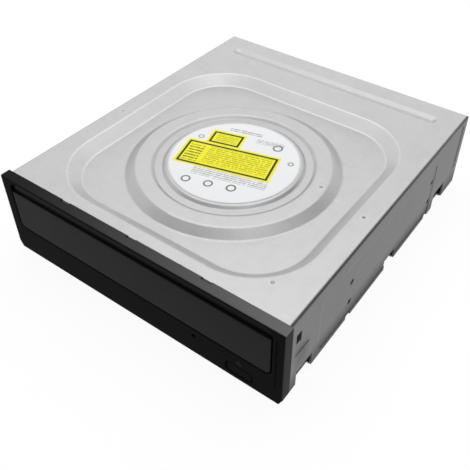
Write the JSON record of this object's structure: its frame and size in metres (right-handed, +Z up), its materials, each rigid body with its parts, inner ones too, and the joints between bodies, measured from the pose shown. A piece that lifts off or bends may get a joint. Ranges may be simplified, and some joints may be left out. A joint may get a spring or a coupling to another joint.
{
  "type": "internal optical disc writer",
  "caption": "Half-height internal disc writer: steel shell with a stamped recess, black bezel, sliding tray, geared loader, cam lift, spindle, sled and clamper.",
  "frame": {"origin": "middle of the underside's bounding rectangle", "axes": "+Z up, -Y out of the bezel where the tray comes out, +X to the right seen from the front"},
  "size_m": [0.148, 0.1676, 0.042],
  "materials": {
    "cover_steel": "satin galvanised sheet",
    "bezel_plastic": "fine moulded grain, black",
    "chassis_plastic": "moulded, black",
    "tray_plastic": "moulded, black",
    "label_paper": "smooth printed sticker",
    "screw_steel": "zinc plated",
    "gear_plastic": "natural acetal",
    "slider_plastic": "natural acetal",
    "lift_plastic": "moulded, black",
    "belt_rubber": "smooth rubber",
    "damper_rubber": "soft rubber",
    "motor_steel": "drawn can",
    "pulley_brass": "turned",
    "plate_steel": "stamped sheet",
    "rod_steel": "ground",
    "pickup_metal": "die cast",
    "lens_glass": "coated",
    "board_laminate": "solder mask",
    "chip_epoxy": "moulded epoxy",
    "capacitor_can": "drawn can",
    "socket_plastic": "moulded",
    "ribbon_film": "printed film",
    "sata_plastic": "glass filled",
    "clamper_plastic": "moulded"
  },
  "bodies": {
    "root": {"top_cover": "cover_steel", "bottom_cover": "cover_steel", "cover_screws": "screw_steel", "cover_label": "label_paper", "front_bezel": "bezel_plastic", "main_chassis": "chassis_plastic", "loading_belt": "belt_rubber", "loading_motor": "motor_steel", "gear_axles": "rod_steel", "clamper_bridge": "plate_steel", "bridge_screws": "screw_steel", "main_circuit_board": "board_laminate", "board_screws": "screw_steel", "board_chips": "chip_epoxy", "board_capacitors": "capacitor_can", "ribbon_sockets": "socket_plastic", "sata_connector": "sata_plastic", "switch_board": "board_laminate", "eject_switch": "chip_epoxy", "switch_ribbon": "ribbon_film"},
    "tray": {"disc_tray": "tray_plastic", "tray_door": "bezel_plastic"},
    "button": {"eject_button": "bezel_plastic"},
    "drive_gear_body": {"drive_gear": "gear_plastic"},
    "pulley_gear_body": {"pulley_gear": "gear_plastic"},
    "motor_pulley_body": {"motor_pulley": "pulley_brass"},
    "slider": {"cam_slider": "slider_plastic"},
    "lift": {"lift_frame": "lift_plastic", "traverse_plate": "plate_steel", "traverse_dampers": "damper_rubber", "damper_screws": "screw_steel", "spindle_motor_base": "plate_steel", "guide_rods": "rod_steel", "rod_holders": "lift_plastic", "sled_motor": "motor_steel"},
    "spindle": {"spindle_rotor": "motor_steel", "turntable": "clamper_plastic", "turntable_ring": "damper_rubber"},
    "pickup": {"pickup_housing": "pickup_metal", "lens_cover": "chip_epoxy", "objective_lens": "lens_glass", "sled_follower": "gear_plastic"},
    "screw": {"lead_screw": "rod_steel"},
    "clamper": {"clamper_disc": "clamper_plastic", "clamper_plate": "plate_steel"}
  },
  "joints": [
    {"name": "tray_slide", "type": "slide", "parent": "root", "child": "tray", "axis": [0, -1, 0], "range_m": [0, 0.132]},
    {"name": "eject_press", "type": "slide", "parent": "root", "child": "button", "axis": [0, 1, 0], "range_m": [0, 0.0006], "stiffness_N_per_m": 900, "springref_m": -0.0005},
    {"name": "drive_gear_spin", "type": "hinge", "parent": "root", "child": "drive_gear_body", "pos_m": [-0.0505, -0.06025, 0.0118], "axis": [0, 0, 1], "range_deg": [-5, 1086]},
    {"name": "pulley_gear_spin", "type": "hinge", "parent": "root", "child": "pulley_gear_body", "pos_m": [-0.0297, -0.06025, 0.0118], "axis": [0, 0, 1], "range_deg": [-3612, 5]},
    {"name": "motor_pulley_spin", "type": "hinge", "parent": "root", "child": "motor_pulley_body", "pos_m": [0.008, -0.06275, 0.0164], "axis": [0, 0, 1], "range_deg": [-14298, 5]},
    {"name": "lift_tilt", "type": "hinge", "parent": "root", "child": "lift", "pos_m": [0, 0.06625, 0.0127], "axis": [-1, 0, 0], "range_deg": [0, 4.73]},
    {"name": "cam_slide", "type": "slide", "parent": "root", "child": "slider", "axis": [1, 0, 0], "range_m": [-0.0002, 0.0182]},
    {"name": "spindle_spin", "type": "hinge", "parent": "lift", "child": "spindle", "pos_m": [0, -0.01438, 0.01696], "axis": [0, -0.0825, 0.9966], "continuous": true},
    {"name": "sled_slide", "type": "slide", "parent": "lift", "child": "pickup", "axis": [0, 0.9966, 0.0825], "range_m": [0, 0.034]},
    {"name": "lead_screw_spin", "type": "hinge", "parent": "lift", "child": "screw", "pos_m": [0.0335, 0.00308, 0.01219], "axis": [0, 0.9966, 0.0825], "range_deg": [-5, 4091]},
    {"name": "clamper_spin", "type": "hinge", "parent": "root", "child": "clamper", "pos_m": [0, -0.01375, 0.0312], "axis": [0, 0, 1], "continuous": true}
  ],
  "couplings": [
    {"joint": "drive_gear_spin", "follows": "tray_slide", "rad_per_m": 142.86},
    {"joint": "pulley_gear_spin", "follows": "tray_slide", "rad_per_m": -476.19},
    {"joint": "motor_pulley_spin", "follows": "tray_slide", "rad_per_m": -1887.8},
    {"joint": "cam_slide", "follows": "lift_tilt", "m_per_rad": 0.21793},
    {"joint": "lead_screw_spin", "follows": "sled_slide", "rad_per_m": 2094.4}
  ]
}
